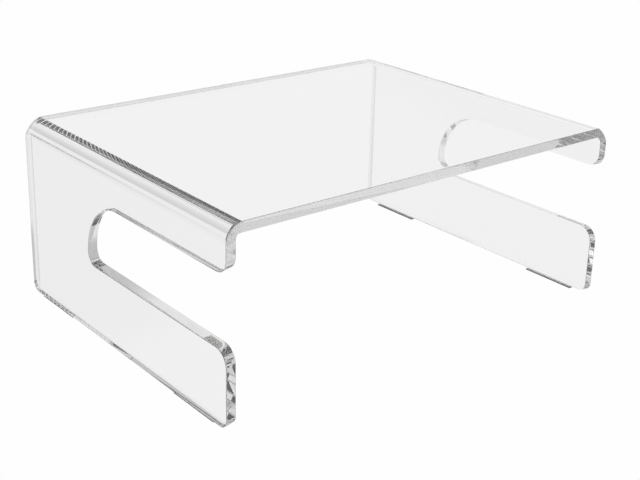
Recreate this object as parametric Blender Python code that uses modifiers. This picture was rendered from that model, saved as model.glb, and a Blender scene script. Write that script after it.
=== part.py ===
"""Monitor riser stand: one sheet of clear acrylic bent into a deck and two side panels, on four grip strips.

Metres, +Z up. The origin is on the desk, under the middle of the stand. X runs along the stand's width,
and the open mouths of the side slots face the user, towards -Y.
"""

from math import cos, pi, radians, sin

import bmesh
import bpy

# The stand as a whole.
WIDTH = 0.380
DEPTH = 0.283
HEIGHT = 0.150

# The bent sheet. Its outer face is stretched in a bend and its inner face bunched up, each round a line of its own.
SHEET_THICKNESS = 0.008
BEND_OUTER_RADIUS = 0.015
BEND_INNER_RADIUS = 0.0055
BEND_STEPS = 12

# The slot in each side panel: open at the front, with a wide upper and a tight lower corner at its rear.
LEG_HEIGHT = 0.0585
SLOT_DEPTH = 0.184
SLOT_UPPER_RADIUS = 0.045
SLOT_LOWER_RADIUS = 0.0095
SLOT_UPPER_STEPS = 16

# The rounded free corners of each side panel.
FLANGE_CORNER_RADIUS = 0.0115
LEG_CORNER_RADIUS = 0.0125
FOOT_CORNER_RADIUS = 0.008
CORNER_STEPS = 8

# The grip strips under the side panels' bottom edges. The gap over each one is its adhesive film.
STRIP_LENGTH = 0.050
STRIP_WIDTH = 0.007
STRIP_THICKNESS = 0.0007
STRIP_EDGE_RADIUS = 0.0001
STRIP_TO_MIDDLE = 0.100
ADHESIVE_GAP = 0.0003

# How far each profile of the sheet runs past the other one, so that they share no plane.
OVERRUN = 0.010

FRONT = -DEPTH / 2
REAR = DEPTH / 2
SHEET_BOTTOM = STRIP_THICKNESS + ADHESIVE_GAP
WELD_DISTANCE = 1e-6


def clear_scene():
    """Removes every object, so that the script gives the same model in any file."""
    for stray in list(bpy.data.objects):
        bpy.data.objects.remove(stray, do_unlink=True)


def new_collection(name):
    collection = bpy.data.collections.new(name)
    bpy.context.scene.collection.children.link(collection)
    return collection


def plastic(name, colour, roughness, transmission, ior):
    """A Principled material with no metal in it."""
    material = bpy.data.materials.new(name)
    material.use_nodes = True
    shader = material.node_tree.nodes["Principled BSDF"]
    shader.inputs["Base Color"].default_value = (*colour, 1.0)
    shader.inputs["Roughness"].default_value = roughness
    shader.inputs["Metallic"].default_value = 0.0
    shader.inputs["Transmission Weight"].default_value = transmission
    shader.inputs["IOR"].default_value = ior
    return material


def arc(centre, radius, start, end, steps):
    """Points on a circle about centre from one angle to another, in degrees, both ends included."""
    angles = [radians(start + (end - start) * step / steps) for step in range(steps + 1)]
    return [(centre[0] + radius * cos(angle), centre[1] + radius * sin(angle)) for angle in angles]


def front_profile():
    """The sheet seen from the front, as (x, z) points: an upside-down U with a bend at each top corner."""
    half_width = WIDTH / 2
    inner_corner = SHEET_THICKNESS + BEND_INNER_RADIUS
    outer_line = (half_width - BEND_OUTER_RADIUS, HEIGHT - BEND_OUTER_RADIUS)
    inner_line = (half_width - inner_corner, HEIGHT - inner_corner)
    lowest = SHEET_BOTTOM - OVERRUN
    right_half = arc(outer_line, BEND_OUTER_RADIUS, 90, 0, BEND_STEPS)
    right_half += [(half_width, lowest), (half_width - SHEET_THICKNESS, lowest)]
    right_half += arc(inner_line, BEND_INNER_RADIUS, 0, 90, BEND_STEPS)
    left_half = [(-x, z) for x, z in reversed(right_half)]
    return right_half + left_half


def side_profile():
    """The sheet seen from the side, as (y, z) points: a rear column with a flange and a leg running forward."""
    highest = HEIGHT + OVERRUN
    slot_floor = SHEET_BOTTOM + LEG_HEIGHT
    slot_ceiling = slot_floor + SLOT_LOWER_RADIUS + SLOT_UPPER_RADIUS
    slot_end = FRONT + SLOT_DEPTH

    rear_foot = (REAR - FOOT_CORNER_RADIUS, SHEET_BOTTOM + FOOT_CORNER_RADIUS)
    flange_corner = (FRONT + FLANGE_CORNER_RADIUS, slot_ceiling + FLANGE_CORNER_RADIUS)
    slot_upper = (slot_end - SLOT_UPPER_RADIUS, slot_ceiling - SLOT_UPPER_RADIUS)
    slot_lower = (slot_end - SLOT_LOWER_RADIUS, slot_floor + SLOT_LOWER_RADIUS)
    leg_corner = (FRONT + LEG_CORNER_RADIUS, slot_floor - LEG_CORNER_RADIUS)
    front_foot = (FRONT + FOOT_CORNER_RADIUS, SHEET_BOTTOM + FOOT_CORNER_RADIUS)

    outline = arc(rear_foot, FOOT_CORNER_RADIUS, 270, 360, CORNER_STEPS)
    outline += [(REAR, highest), (FRONT, highest)]
    outline += arc(flange_corner, FLANGE_CORNER_RADIUS, 180, 270, CORNER_STEPS)
    outline += arc(slot_upper, SLOT_UPPER_RADIUS, 90, 0, SLOT_UPPER_STEPS)
    # The lower arc starts where the upper one ends, so its first point is left out.
    outline += arc(slot_lower, SLOT_LOWER_RADIUS, 0, -90, CORNER_STEPS)[1:]
    outline += arc(leg_corner, LEG_CORNER_RADIUS, 90, 180, CORNER_STEPS)
    outline += arc(front_foot, FOOT_CORNER_RADIUS, 180, 270, CORNER_STEPS)
    return outline


def extrude_outline(name, outline, length, rotation, collection):
    """A closed mesh: the outline, drawn in a curve's own XY plane, given a length both ways from that plane."""
    curve = bpy.data.curves.new(name + "_outline", "CURVE")
    curve.dimensions = "2D"
    curve.fill_mode = "BOTH"
    curve.extrude = length / 2
    spline = curve.splines.new("POLY")
    spline.points.add(len(outline) - 1)
    for point, (u, v) in zip(spline.points, outline):
        point.co = (u, v, 0, 1)
    spline.use_cyclic_u = True
    flat = bpy.data.objects.new(name + "_outline", curve)
    flat.rotation_euler = rotation
    collection.objects.link(flat)
    bpy.context.view_layer.update()

    depsgraph = bpy.context.evaluated_depsgraph_get()
    mesh = bpy.data.meshes.new_from_object(flat.evaluated_get(depsgraph))
    mesh.name = name
    welded = bmesh.new()
    welded.from_mesh(mesh)
    bmesh.ops.remove_doubles(welded, verts=welded.verts, dist=WELD_DISTANCE)
    bmesh.ops.recalc_face_normals(welded, faces=welded.faces)
    welded.to_mesh(mesh)
    welded.free()

    solid = bpy.data.objects.new(name, mesh)
    solid.matrix_world = flat.matrix_world
    collection.objects.link(solid)
    bpy.data.objects.remove(flat, do_unlink=True)
    return solid


def shade_round(mesh):
    """Smooth shading over the arcs, with every edge of more than 30 degrees left sharp."""
    mesh.shade_smooth()
    mesh.set_sharp_from_angle(angle=radians(30))


def make_riser_sheet(stand, cutters, material):
    """The whole bent sheet: what its front profile and its side profile, each extruded, have in common."""
    facing_front = (pi / 2, 0, 0)
    facing_side = (pi / 2, 0, pi / 2)
    sheet = extrude_outline("riser_sheet", front_profile(), DEPTH + 2 * OVERRUN, facing_front, stand)
    cutter = extrude_outline("side_profile_cutter", side_profile(), WIDTH + 2 * OVERRUN, facing_side, cutters)
    cutter.hide_render = True
    cutter.display_type = "WIRE"
    cut = sheet.modifiers.new("cut_to_side_profile", "BOOLEAN")
    cut.operation = "INTERSECT"
    cut.solver = "EXACT"
    cut.object = cutter
    shade_round(sheet.data)
    sheet.data.materials.append(material)
    return sheet


def make_grip_strip(name, x, y, stand, material):
    """One self-adhesive strip, lying along a side panel's bottom edge."""
    bpy.ops.mesh.primitive_cube_add(size=1, location=(x, y, STRIP_THICKNESS / 2))
    strip = bpy.context.object
    strip.name = name
    strip.data.name = name
    strip.scale = (STRIP_WIDTH, STRIP_LENGTH, STRIP_THICKNESS)
    bpy.ops.object.transform_apply(location=False, rotation=False, scale=True)
    edge = strip.modifiers.new("soft_edge", "BEVEL")
    edge.width = STRIP_EDGE_RADIUS
    edge.segments = 2
    strip.data.materials.append(material)
    for collection in list(strip.users_collection):
        collection.objects.unlink(strip)
    stand.objects.link(strip)
    return strip


def build():
    clear_scene()
    stand = new_collection("monitor_riser_stand")
    cutters = new_collection("cutters")
    acrylic = plastic("clear_acrylic", (0.95, 0.95, 0.94), 0.02, transmission=1.0, ior=1.49)
    grip_foam = plastic("grip_strip_foam", (0.10, 0.10, 0.10), 0.85, transmission=0.0, ior=1.50)

    make_riser_sheet(stand, cutters, acrylic)
    panel_middle = (WIDTH - SHEET_THICKNESS) / 2
    for side, x in (("left", -panel_middle), ("right", panel_middle)):
        for end, y in (("front", -STRIP_TO_MIDDLE), ("rear", STRIP_TO_MIDDLE)):
            make_grip_strip(f"grip_strip_{end}_{side}", x, y, stand, grip_foam)


build()
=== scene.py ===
"""Looks for the monitor riser stand: the bent acrylic sheet with its polished edges, and its grip strips.

Metres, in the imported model's frame: +X along the stand's width, the slots open towards -Y, +Z up.
"""

from math import cos, pi, radians, sin

import bmesh
import bpy
from mathutils import Euler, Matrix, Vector


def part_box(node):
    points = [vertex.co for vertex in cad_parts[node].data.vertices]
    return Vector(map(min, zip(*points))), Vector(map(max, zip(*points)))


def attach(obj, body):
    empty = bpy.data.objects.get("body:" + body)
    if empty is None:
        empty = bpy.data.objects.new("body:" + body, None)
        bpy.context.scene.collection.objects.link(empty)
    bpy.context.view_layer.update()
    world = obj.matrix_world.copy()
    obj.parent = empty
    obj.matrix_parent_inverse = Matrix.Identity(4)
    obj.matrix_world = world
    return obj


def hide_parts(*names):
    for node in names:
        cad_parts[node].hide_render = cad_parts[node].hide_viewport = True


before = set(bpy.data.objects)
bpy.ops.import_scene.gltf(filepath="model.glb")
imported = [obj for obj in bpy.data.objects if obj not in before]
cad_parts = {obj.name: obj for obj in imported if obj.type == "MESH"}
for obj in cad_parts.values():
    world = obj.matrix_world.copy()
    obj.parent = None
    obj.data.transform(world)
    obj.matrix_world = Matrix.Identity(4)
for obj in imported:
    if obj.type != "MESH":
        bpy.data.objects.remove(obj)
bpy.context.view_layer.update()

# The sheet's own shape, as in the CAD model.
SHEET_THICKNESS = 0.008
BEND_OUTER_RADIUS = 0.015
BEND_INNER_RADIUS = 0.0055
LEG_HEIGHT = 0.0585
SLOT_DEPTH = 0.184
SLOT_UPPER_RADIUS = 0.045
SLOT_LOWER_RADIUS = 0.0095
FLANGE_CORNER_RADIUS = 0.0115
LEG_CORNER_RADIUS = 0.0125
FOOT_CORNER_RADIUS = 0.008

# The fine surface that the CAD model leaves out. Every cut edge is rounded a little. Across a bend, where
# the sheet was heated, it is rounded more and its outer side is drawn in.
EDGE_RADIUS = 0.0006
EDGE_STEPS = 6
BEND_EDGE_RADIUS = 0.0022
BEND_PULL = 0.0012
BEND_STEPS = 96
CORNER_STEPS = 20
SLOT_STEPS = 48
STRIP_EDGE_RADIUS = 0.0001
STRIP_EDGE_STEPS = 2
FILM_CONTACT = 0.00002

# The acrylic. Its faces are true and glossy, its cut edges slightly wavy, and duller where they were heated.
ACRYLIC_IOR = 1.49
ABSORPTION_PER_METRE = 0.8
EDGE_ROUGHNESS = 0.01
BEND_EDGE_ROUGHNESS = 0.5
WAVES_PER_METRE = 35
EDGE_WAVE_HEIGHT = 0.00002
FACE_WAVE_HEIGHT = 0.000003

# Painted shade in its colour, for the darker bands that light refracted and reflected in the sheet shows, as
# (place, share) stops. The rear shade lies on the inner face, over the last REAR_BAND up to the rear edge.
# The bend shade lies on the outer face and runs round a bend, from the deck to the panel.
REAR_BAND = 0.0065
REAR_PAINTED_SHADE = [(0, 0), (0.02, 0), (0.04, 0.55), (0.5, 0.14), (1, 0.1)]
BEND_PAINTED_SHADE = [(0, 0), (0.3, 0), (0.46, 0.06), (0.635, 0.40), (0.65, 0), (1, 0)]

# Round a bend in the same way, the share of the duller finish that the heat gave its cut edges.
HEATED = [(0, 0), (0.1, 1), (0.9, 1), (1, 0)]

# Brightness of the studio: as the camera sees it directly, as the stand refracts or reflects it, and as the
# stand shows it after both, which is mostly light that was reflected inside the sheet.
BACKDROP_LEVEL = 0.99
STUDIO_LEVEL = 0.885
STUDIO_LEVEL_INSIDE = 0.83

# Cards round the stand, each laid over the ones before it. The angles are in degrees:
# azimuth from +Y towards +X, elevation, width, height, soft border, and then the card's brightness.
CARDS = [
    (37, 17, 70, 26, 8, 0.90),
    (-38, 27, 50, 30, 8, 0.30),
]
CARDS_INSIDE = [
    (-26, 4, 96, 12, 3, 0.03),
    (-38, 27, 50, 36, 6, 0.10),
    (42, 19, 40, 16, 6, 0.94),
    (42, 29, 40, 9, 3, 0.55),
    (150, 15, 60, 10, 4, 0.10),
    (75, 45, 90, 26, 10, 1.3),
]

# The floor's shaded sector, which only light from inside the sheet finds: azimuth, width and soft border in
# degrees, and brightness.
FLOOR_SHADE = (-50, 70, 20, 0.55)
FLOOR_SIZE = 6

# Light runs a long way inside the sheet before it leaves through an edge.
BOUNCES = 64


# ---------------------------------------------------------------- the bent sheet

lowest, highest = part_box("riser_sheet")
HALF_WIDTH = highest.x
FRONT, REAR = lowest.y, highest.y
SHEET_BOTTOM, DECK_TOP = lowest.z, highest.z

# Along the sheet, s runs from the deck's middle outwards: over the deck, round the bend and down the panel.
BEND_START = HALF_WIDTH - BEND_OUTER_RADIUS
BEND_END = BEND_START + BEND_OUTER_RADIUS * pi / 2
PANEL_END = BEND_END + DECK_TOP - BEND_OUTER_RADIUS - SHEET_BOTTOM


def bend_angle(s):
    """How far the sheet has turned at s: 0 on the deck and a right angle on a side panel."""
    return (min(max(abs(s), BEND_START), BEND_END) - BEND_START) / BEND_OUTER_RADIUS


def on_sheet(s, y, depth):
    """Where a point of the flat sheet goes when it is bent, with its depth below the outer face."""
    side = 1 if s >= 0 else -1
    turn = Vector((sin(bend_angle(s)), 0, cos(bend_angle(s))))
    flat = Vector((min(abs(s) - BEND_START, 0), 0, -max(abs(s) - BEND_END, 0)))
    corner = Vector((HALF_WIDTH, 0, DECK_TOP))
    outer_centre = corner - Vector((1, 0, 1)) * BEND_OUTER_RADIUS
    inner_centre = corner - Vector((1, 0, 1)) * (SHEET_THICKNESS + BEND_INNER_RADIUS)
    outer = outer_centre + BEND_OUTER_RADIUS * turn
    inner = inner_centre + BEND_INNER_RADIUS * turn
    point = outer.lerp(inner, depth / SHEET_THICKNESS) + flat
    return Vector((side * point.x, y, point.z))


def bend_share(s):
    """0 where the sheet is flat, rising to 1 at the middle of a bend."""
    return sin(2 * bend_angle(s)) ** 2


def corner(centre, radius, start, end, steps, hollow=False):
    """A rounded corner as (s, y, normal) points. The normal points out of the sheet's material."""
    points = []
    for step in range(steps + 1):
        angle = radians(start + (end - start) * step / steps)
        out = Vector((cos(angle), sin(angle)))
        points.append((centre[0] + radius * out.x, centre[1] + radius * out.y, -out if hollow else out))
    return points


def right_outline():
    """The right half of the flat sheet's outline, from the bend's rear end round to its front end."""
    slot_floor = PANEL_END - LEG_HEIGHT
    slot_ceiling = slot_floor - SLOT_LOWER_RADIUS - SLOT_UPPER_RADIUS
    slot_end = FRONT + SLOT_DEPTH
    bend = [BEND_START + (BEND_END - BEND_START) * step / BEND_STEPS for step in range(BEND_STEPS + 1)]
    foot, leg, flange = FOOT_CORNER_RADIUS, LEG_CORNER_RADIUS, FLANGE_CORNER_RADIUS
    upper, lower = SLOT_UPPER_RADIUS, SLOT_LOWER_RADIUS

    points = [(s, REAR, Vector((0, 1))) for s in bend]
    points += corner((PANEL_END - foot, REAR - foot), foot, 90, 0, CORNER_STEPS)
    points += corner((PANEL_END - foot, FRONT + foot), foot, 0, -90, CORNER_STEPS)
    points += corner((slot_floor + leg, FRONT + leg), leg, -90, -180, CORNER_STEPS)
    points += corner((slot_floor - lower, slot_end - lower), lower, 0, 90, CORNER_STEPS, hollow=True)
    points += corner((slot_ceiling + upper, slot_end - upper), upper, 90, 180, SLOT_STEPS, hollow=True)[1:]
    points += corner((slot_ceiling - flange, FRONT + flange), flange, 0, -90, CORNER_STEPS)
    points += [(s, FRONT, Vector((0, -1))) for s in reversed(bend)]
    return points


def edge_rings(s):
    """The cut edge in section at s, as (inset, depth, share) from the outer face to the inner one.

    The share is 0 on the faces and 1 on the flat of the edge.
    """
    bent = bend_share(s)
    radius = EDGE_RADIUS + (BEND_EDGE_RADIUS - EDGE_RADIUS) * bent
    rings = []
    for step in range(EDGE_STEPS + 1):
        turn = pi / 2 * step / EDGE_STEPS
        rings.append((radius * (1 - sin(turn)), radius * (1 - cos(turn)), sin(turn)))
    rings += [(inset, SHEET_THICKNESS - depth, share) for inset, depth, share in reversed(rings)]
    pulled = []
    for inset, depth, share in rings:
        pulled.append((inset + BEND_PULL * bent * (1 - depth / SHEET_THICKNESS), depth, share))
    return pulled


def make_sheet_mesh():
    """The whole sheet as one closed mesh, with its cut edges, bends and inner side marked by attributes."""
    right = right_outline()
    left = [(-s, y, Vector((-n.x, n.y))) for s, y, n in reversed(right)]
    outline = right + left
    ring_count = 2 * (EDGE_STEPS + 1)

    verts = []
    marks = {"edge_share": [], "bend_turn": [], "inner_side": []}
    for s, y, out in outline:
        for inset, depth, share in edge_rings(s):
            verts.append(on_sheet(s - inset * out.x, y - inset * out.y, depth))
            marks["edge_share"].append(share)
            marks["bend_turn"].append(bend_angle(s) / (pi / 2))
            marks["inner_side"].append(depth / SHEET_THICKNESS)

    count = len(outline)

    def vert(point, ring):
        return (point % count) * ring_count + ring

    faces = []
    for point in range(count):
        for ring in range(ring_count - 1):
            here, there = vert(point, ring), vert(point + 1, ring)
            faces.append((here, there, there + 1, here + 1))

    # The deck, the panels and the bends' strips, each on the outer side and, turned over, on the inner one.
    last = len(right) - 1
    strips = [(step, step + 1, last - step - 1, last - step) for step in range(BEND_STEPS)]
    panel = tuple(range(BEND_STEPS, last - BEND_STEPS + 1))
    mirrored = [tuple(count - 1 - point for point in reversed(loop)) for loop in strips + [panel]]
    deck = (count - 1, 0, last, last + 1)
    for loop in strips + [panel] + mirrored + [deck]:
        faces.append(tuple(vert(point, 0) for point in reversed(loop)))
        faces.append(tuple(vert(point, ring_count - 1) for point in loop))

    mesh = bpy.data.meshes.new("bent_acrylic_sheet")
    mesh.from_pydata(verts, [], faces)
    mesh.validate()
    mesh.shade_smooth()
    for name, values in marks.items():
        mesh.attributes.new(name, "FLOAT", "POINT").data.foreach_set("value", values)
    return mesh


# ---------------------------------------------------------------- node helpers


def new_material(name):
    material = bpy.data.materials.new(name)
    material.use_nodes = True
    return material, material.node_tree.nodes, material.node_tree.links


def math_node(nodes, links, operation, a, b=None):
    """A Math node on one or two numbers or sockets."""
    node = nodes.new("ShaderNodeMath")
    node.operation = operation
    for socket, value in zip(node.inputs, (a, b)):
        if isinstance(value, (int, float)):
            socket.default_value = value
        elif value is not None:
            links.new(value, socket)
    return node.outputs[0]


def blend(nodes, links, share, a, b):
    """The mix of two numbers or sockets: a where the share is 0, and b where it is 1 or more."""
    node = nodes.new("ShaderNodeMix")
    links.new(share, node.inputs["Factor"])
    for name, value in (("A", a), ("B", b)):
        if isinstance(value, (int, float)):
            node.inputs[name].default_value = value
        else:
            links.new(value, node.inputs[name])
    return node.outputs["Result"]


def ramp(nodes, links, value, stops):
    """A curve from one number to another, drawn as straight lines between (from, to) stops."""
    node = nodes.new("ShaderNodeFloatCurve")
    points = node.mapping.curves[0].points
    for point, (x, y) in zip(points, (stops[0], stops[-1])):
        point.location = (x, y)
    for x, y in stops[1:-1]:
        points.new(x, y)
    for point in points:
        point.handle_type = "VECTOR"
    node.mapping.update()
    links.new(value, node.inputs["Value"])
    return node.outputs[0]


def attribute(nodes, name):
    """One of the marks that the sheet's mesh carries."""
    node = nodes.new("ShaderNodeAttribute")
    node.attribute_name = name
    return node.outputs["Fac"]


def noise(nodes, links, place, scale, detail):
    node = nodes.new("ShaderNodeTexNoise")
    node.inputs["Scale"].default_value = scale
    node.inputs["Detail"].default_value = detail
    links.new(place, node.inputs["Vector"])
    return node.outputs["Fac"]


def bump(nodes, links, shader, height, distance, strength):
    """Drives the shader's normal with a height from 0 to 1, which stands for that distance in metres."""
    node = nodes.new("ShaderNodeBump")
    node.inputs["Strength"].default_value = strength
    node.inputs["Distance"].default_value = distance
    links.new(height, node.inputs["Height"])
    links.new(node.outputs["Normal"], shader.inputs["Normal"])


def mottle(nodes, links, shader, share, dark, light):
    """Drives the shader's colour between a dark and a light one, each given with its place on the share."""
    node = nodes.new("ShaderNodeValToRGB")
    for element, (position, colour) in zip(node.color_ramp.elements, (dark, light)):
        element.position = position
        element.color = (*colour, 1)
    links.new(share, node.inputs["Fac"])
    links.new(node.outputs["Color"], shader.inputs["Base Color"])


# ---------------------------------------------------------------- the acrylic


def painted_edge_shade(nodes, links, place, bend_turn, inner_side, heated):
    """Painted shade on the acrylic: inside along the flat rear edges, outside on a bend's lower half."""
    split = nodes.new("ShaderNodeSeparateXYZ")
    links.new(place, split.inputs[0])
    to_rear = nodes.new("ShaderNodeMapRange")
    to_rear.inputs["From Min"].default_value = REAR - REAR_BAND
    to_rear.inputs["From Max"].default_value = REAR
    links.new(split.outputs["Y"], to_rear.inputs["Value"])
    rear_painted_shade = ramp(nodes, links, to_rear.outputs[0], REAR_PAINTED_SHADE)
    rear_painted_shade = math_node(nodes, links, "MULTIPLY", rear_painted_shade, inner_side)
    rear_painted_shade = blend(nodes, links, heated, rear_painted_shade, 0)
    outer_side = math_node(nodes, links, "SUBTRACT", 1, inner_side)
    bend_painted_shade = ramp(nodes, links, bend_turn, BEND_PAINTED_SHADE)
    bend_painted_shade = math_node(nodes, links, "MULTIPLY", bend_painted_shade, outer_side)
    return math_node(nodes, links, "ADD", rear_painted_shade, bend_painted_shade)


def clear_acrylic():
    """Clear cast acrylic: true faces, slightly wavy polished edges, and painted shade in places."""
    material, nodes, links = new_material("clear_acrylic")
    shader = nodes["Principled BSDF"]
    shader.inputs["IOR"].default_value = ACRYLIC_IOR
    shader.inputs["Transmission Weight"].default_value = 1.0

    place = nodes.new("ShaderNodeTexCoord").outputs["Object"]
    edge_share = attribute(nodes, "edge_share")
    bend_turn = attribute(nodes, "bend_turn")
    inner_side = attribute(nodes, "inner_side")
    heated = ramp(nodes, links, bend_turn, HEATED)

    # Painted shade: darkens the base colour along the rear edges and round the bends' lower halves.
    grey = painted_edge_shade(nodes, links, place, bend_turn, inner_side, heated)
    links.new(math_node(nodes, links, "SUBTRACT", 1, grey), shader.inputs["Base Color"])

    roughness = blend(nodes, links, heated, EDGE_ROUGHNESS, BEND_EDGE_ROUGHNESS)
    roughness = math_node(nodes, links, "MULTIPLY", edge_share, roughness)
    links.new(roughness, shader.inputs["Roughness"])

    waves = noise(nodes, links, place, WAVES_PER_METRE, 1.0)
    reach = blend(nodes, links, edge_share, FACE_WAVE_HEIGHT / EDGE_WAVE_HEIGHT, 1)
    height = math_node(nodes, links, "MULTIPLY", waves, reach)
    bump(nodes, links, shader, height, EDGE_WAVE_HEIGHT, 1.0)

    absorption = nodes.new("ShaderNodeVolumeAbsorption")
    absorption.inputs["Color"].default_value = (0.0, 0.0, 0.0, 1)
    absorption.inputs["Density"].default_value = ABSORPTION_PER_METRE
    links.new(absorption.outputs["Volume"], nodes["Material Output"].inputs["Volume"])
    return material


def make_sheet():
    sheet = bpy.data.objects.new("bent_acrylic_sheet", make_sheet_mesh())
    bpy.context.scene.collection.objects.link(sheet)
    sheet.modifiers.new("flat_faces_keep_true_normals", "WEIGHTED_NORMAL")
    sheet.data.materials.append(clear_acrylic())
    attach(sheet, "root")
    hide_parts("riser_sheet")


# ---------------------------------------------------------------- the grip strips


def grip_foam():
    """Closed-cell foam: fine pores all over, and a little mottling in its grey."""
    material, nodes, links = new_material("grip_foam")
    shader = nodes["Principled BSDF"]
    shader.inputs["Roughness"].default_value = 0.85
    place = nodes.new("ShaderNodeTexCoord").outputs["Object"]
    patches = noise(nodes, links, place, 900.0, 4.0)
    mottle(nodes, links, shader, patches, (0.3, (0.05, 0.05, 0.05)), (0.7, (0.14, 0.14, 0.14)))
    pores = nodes.new("ShaderNodeTexVoronoi")
    pores.inputs["Scale"].default_value = 4000.0
    links.new(place, pores.inputs["Vector"])
    bump(nodes, links, shader, pores.outputs["Distance"], 0.0001, 0.6)
    return material


def adhesive_film():
    """The strip's pale adhesive film, wet against the acrylic."""
    material, nodes, links = new_material("adhesive_film")
    shader = nodes["Principled BSDF"]
    shader.inputs["Roughness"].default_value = 0.7
    place = nodes.new("ShaderNodeTexCoord").outputs["Object"]
    patches = noise(nodes, links, place, 300.0, 2.0)
    mottle(nodes, links, shader, patches, (0.35, (0.38, 0.38, 0.37)), (0.65, (0.52, 0.52, 0.50)))
    return material


def make_strip(node, foam, film):
    """One grip strip: foam of the CAD solid's size, and on top of it the film that bonds it to the sheet."""
    low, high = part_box(node)
    mesh = bpy.data.meshes.new(node + "_foam")
    box = bmesh.new()
    for bottom, top, slot in ((low.z, high.z, 0), (high.z, SHEET_BOTTOM + FILM_CONTACT, 1)):
        made = bmesh.ops.create_cube(box, size=1)["verts"]
        size = Vector((high.x - low.x, high.y - low.y, top - bottom))
        middle = Vector(((low.x + high.x) / 2, (low.y + high.y) / 2, (bottom + top) / 2))
        for v in made:
            v.co = Vector(a * b for a, b in zip(v.co, size)) + middle
        for face in box.faces:
            if face.verts[0] in made:
                face.material_index = slot
        edges = [edge for edge in box.edges if edge.verts[0] in made]
        bmesh.ops.bevel(
            box,
            geom=edges,
            offset=STRIP_EDGE_RADIUS,
            segments=STRIP_EDGE_STEPS,
            affect="EDGES",
            profile=0.5,
        )
    box.to_mesh(mesh)
    box.free()
    strip = bpy.data.objects.new(node + "_foam", mesh)
    bpy.context.scene.collection.objects.link(strip)
    strip.data.materials.append(foam)
    strip.data.materials.append(film)
    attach(strip, "root")
    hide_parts(node)


# ---------------------------------------------------------------- stage, light and camera


def glow(nodes, links, level, level_inside):
    """Emission at one level direct and another inside the sheet. The camera itself sees BACKDROP_LEVEL."""
    path = nodes.new("ShaderNodeLightPath")
    reflected, refracted = path.outputs["Glossy Depth"], path.outputs["Transmission Depth"]
    inside = math_node(nodes, links, "MULTIPLY", reflected, refracted)
    seen = nodes.new("ShaderNodeEmission")
    seen.inputs["Strength"].default_value = BACKDROP_LEVEL
    lit = nodes.new("ShaderNodeEmission")
    links.new(blend(nodes, links, inside, level, level_inside), lit.inputs["Strength"])
    mix = nodes.new("ShaderNodeMixShader")
    links.new(path.outputs["Is Camera Ray"], mix.inputs[0])
    links.new(lit.outputs[0], mix.inputs[1])
    links.new(seen.outputs[0], mix.inputs[2])
    return mix.outputs[0]


def near(nodes, links, angle, centre, width, soft):
    """1 where an angle is in a band of that width about centre, with a soft border, all in degrees."""
    off = math_node(nodes, links, "ABSOLUTE", math_node(nodes, links, "SUBTRACT", angle, radians(centre)))
    fall = nodes.new("ShaderNodeMapRange")
    fall.interpolation_type = "SMOOTHSTEP"
    fall.inputs["From Min"].default_value = radians((width + soft) / 2)
    fall.inputs["From Max"].default_value = radians((width - soft) / 2)
    links.new(off, fall.inputs["Value"])
    return fall.outputs[0]


def hang_cards(nodes, links, azimuth, elevation, level, cards):
    """The level of the studio, with each card laid over it in turn."""
    for card_azimuth, card_elevation, width, height, soft, brightness in cards:
        across = near(nodes, links, azimuth, card_azimuth, width, soft)
        up = near(nodes, links, elevation, card_elevation, height, soft)
        level = blend(nodes, links, math_node(nodes, links, "MULTIPLY", across, up), level, brightness)
    return level


def make_stage():
    """A white floor, evenly lit from below like a light table, so that nothing on it throws a shadow."""
    mesh = bpy.data.meshes.new("floor")
    plane = bmesh.new()
    bmesh.ops.create_grid(plane, x_segments=1, y_segments=1, size=FLOOR_SIZE)
    plane.to_mesh(mesh)
    plane.free()
    floor = bpy.data.objects.new("floor", mesh)
    bpy.context.scene.collection.objects.link(floor)
    material, nodes, links = new_material("pale_floor")
    nodes.remove(nodes["Principled BSDF"])
    split = nodes.new("ShaderNodeSeparateXYZ")
    links.new(nodes.new("ShaderNodeTexCoord").outputs["Object"], split.inputs[0])
    azimuth = math_node(nodes, links, "ARCTAN2", split.outputs["X"], split.outputs["Y"])
    centre, width, soft, brightness = FLOOR_SHADE
    shade = near(nodes, links, azimuth, centre, width, soft)
    inside = blend(nodes, links, shade, STUDIO_LEVEL_INSIDE, brightness)
    links.new(glow(nodes, links, STUDIO_LEVEL, inside), nodes["Material Output"].inputs["Surface"])
    floor.data.materials.append(material)


def make_light():
    """Even studio light from all round, with dark flags and soft boxes that mostly the edges pick up."""
    world = bpy.data.worlds.new("studio")
    world.use_nodes = True
    nodes, links = world.node_tree.nodes, world.node_tree.links
    nodes.remove(nodes["Background"])
    split = nodes.new("ShaderNodeSeparateXYZ")
    links.new(nodes.new("ShaderNodeTexCoord").outputs["Generated"], split.inputs[0])
    azimuth = math_node(nodes, links, "ARCTAN2", split.outputs["X"], split.outputs["Y"])
    elevation = math_node(nodes, links, "ARCSINE", split.outputs["Z"])
    direct = hang_cards(nodes, links, azimuth, elevation, STUDIO_LEVEL, CARDS)
    inside = hang_cards(nodes, links, azimuth, elevation, STUDIO_LEVEL_INSIDE, CARDS_INSIDE)
    links.new(glow(nodes, links, direct, inside), nodes["World Output"].inputs["Surface"])
    scene = bpy.context.scene
    scene.world = world
    scene.view_settings.view_transform = "Standard"
    scene.cycles.max_bounces = BOUNCES
    scene.cycles.transmission_bounces = BOUNCES
    scene.cycles.glossy_bounces = BOUNCES
    scene.cycles.blur_glossy = 0


def make_camera():
    data = bpy.data.cameras.new("camera")
    data.sensor_width = 36
    data.lens = 67.3
    data.shift_y = -0.086
    camera = bpy.data.objects.new("camera", data)
    camera.location = (-0.5896, -0.7186, 0.4291)
    camera.rotation_euler = Euler((radians(70.294), radians(-1.392), radians(-38.982)))
    bpy.context.scene.collection.objects.link(camera)
    bpy.context.scene.camera = camera


make_camera()
make_light()
make_stage()
make_sheet()
foam, film = grip_foam(), adhesive_film()
for name in sorted(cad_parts):
    if name.startswith("grip_strip"):
        make_strip(name, foam, film)
